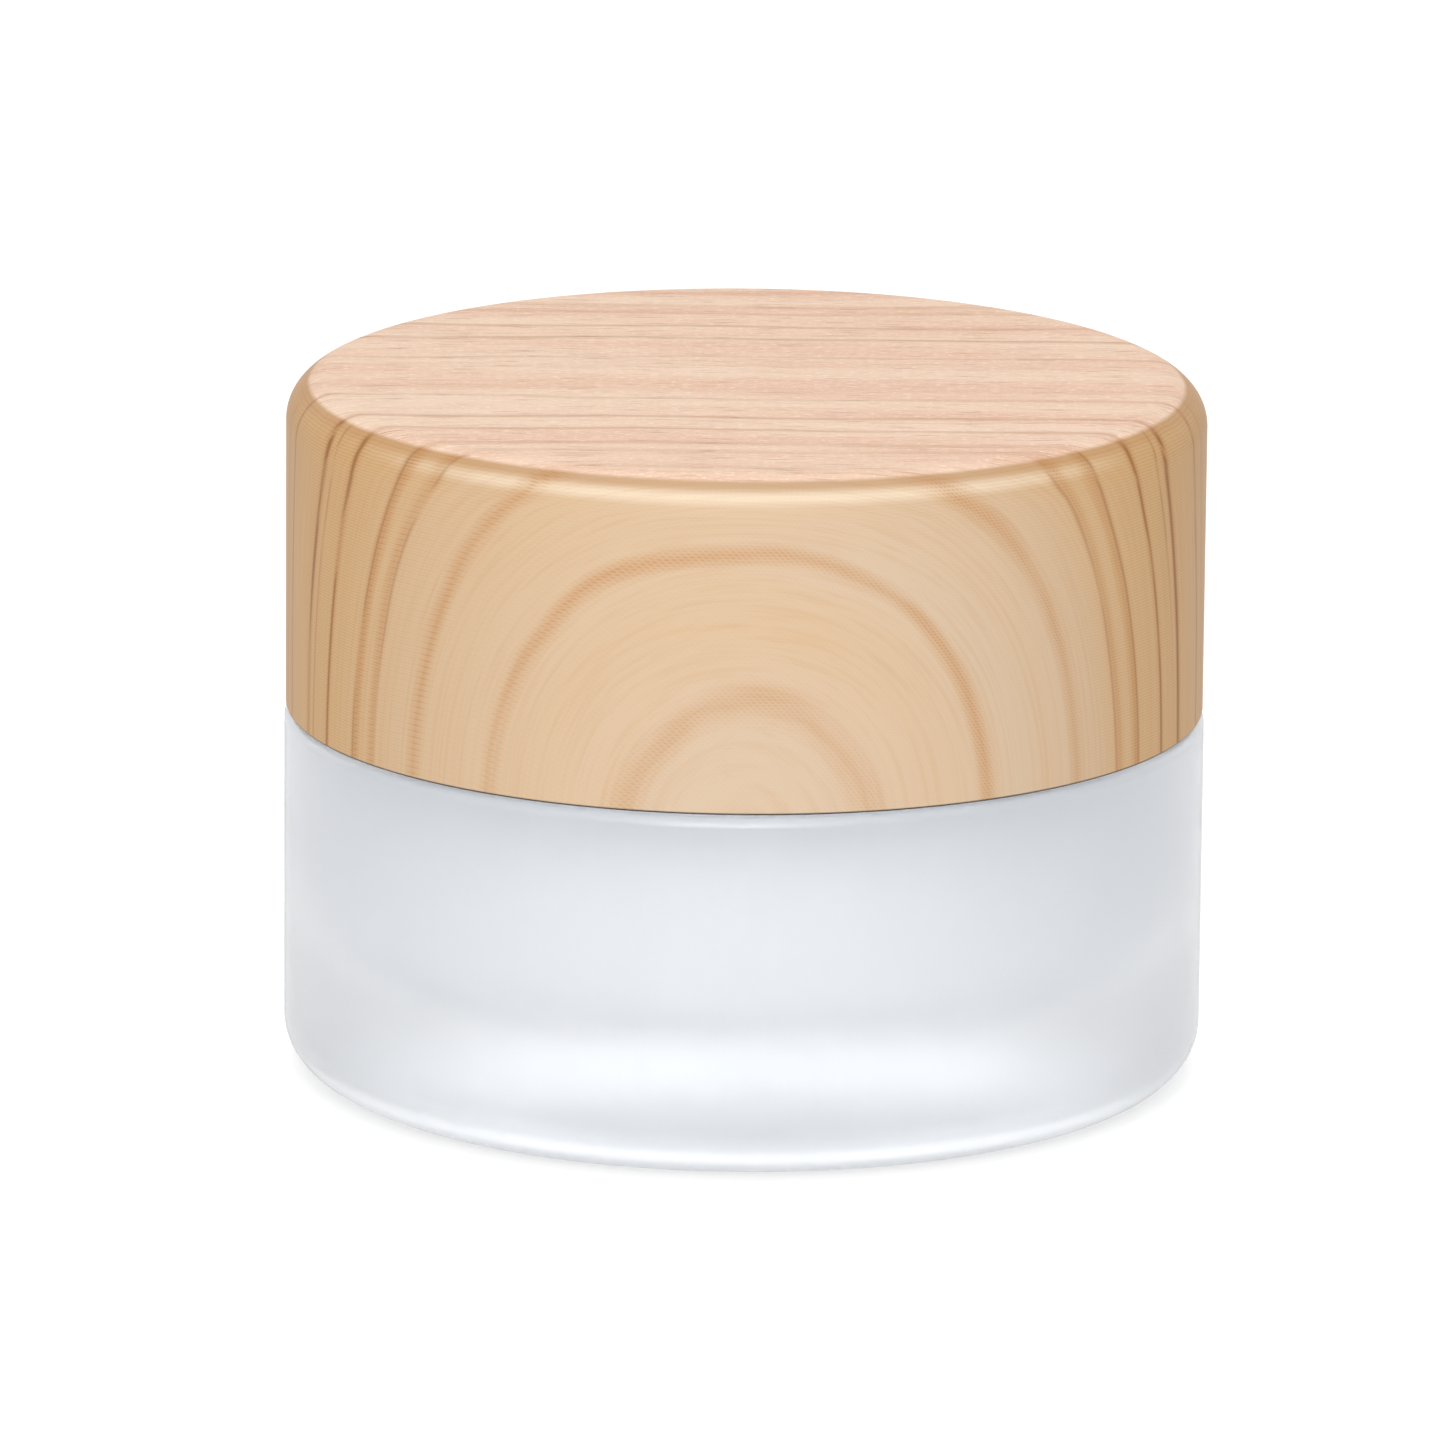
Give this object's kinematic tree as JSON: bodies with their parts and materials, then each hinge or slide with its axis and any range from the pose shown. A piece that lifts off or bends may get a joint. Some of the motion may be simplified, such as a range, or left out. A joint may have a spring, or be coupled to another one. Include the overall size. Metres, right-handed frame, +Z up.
{
  "type": "cosmetic cream jar",
  "caption": "Low round screw-lid cream jar: thick frosted glass pot, dished sealing disc and a double-walled lid with a wood-grain shell.",
  "frame": {"origin": "centre of the jar's foot, on the surface it stands on", "axes": "+Z up along the jar's axis, -Y towards the viewer's front, +X to the viewer's right"},
  "size_m": [0.0632, 0.0632, 0.0483],
  "materials": {
    "frosted_glass": "acid-frosted outside, glossy and faintly milky inside",
    "disc_plastic": "natural polyethylene, satin",
    "liner_foam": "fine-celled polyethylene foam with a smooth skin",
    "insert_plastic": "white moulded polypropylene",
    "wood_film": "pale wood-grain transfer film under a satin lacquer"
  },
  "bodies": {
    "jar": {"glass_jar": "frosted_glass"},
    "disc": {"sealing_disc": "disc_plastic"},
    "lid_lift": {"cap_liner": "liner_foam"},
    "lid": {"cap_insert": "insert_plastic", "cap_shell": "wood_film"}
  },
  "joints": [
    {"name": "lid_rise", "type": "slide", "parent": "jar", "child": "lid_lift", "axis": [0, 0, 1], "range_m": [0, 0.0169]},
    {"name": "lid_twist", "type": "hinge", "parent": "lid_lift", "child": "lid", "pos_m": [0, 0, 0.0483], "axis": [0, 0, 1], "range_deg": [0, 1440]},
    {"name": "disc_lift", "type": "slide", "parent": "jar", "child": "disc", "axis": [0, 0, 1], "range_m": [0, 0.0039]}
  ],
  "couplings": [
    {"joint": "lid_rise", "follows": "lid_twist", "m_per_rad": 0.00066845},
    {"joint": "disc_lift", "follows": "lid_twist", "m_per_rad": 0.0001512}
  ]
}
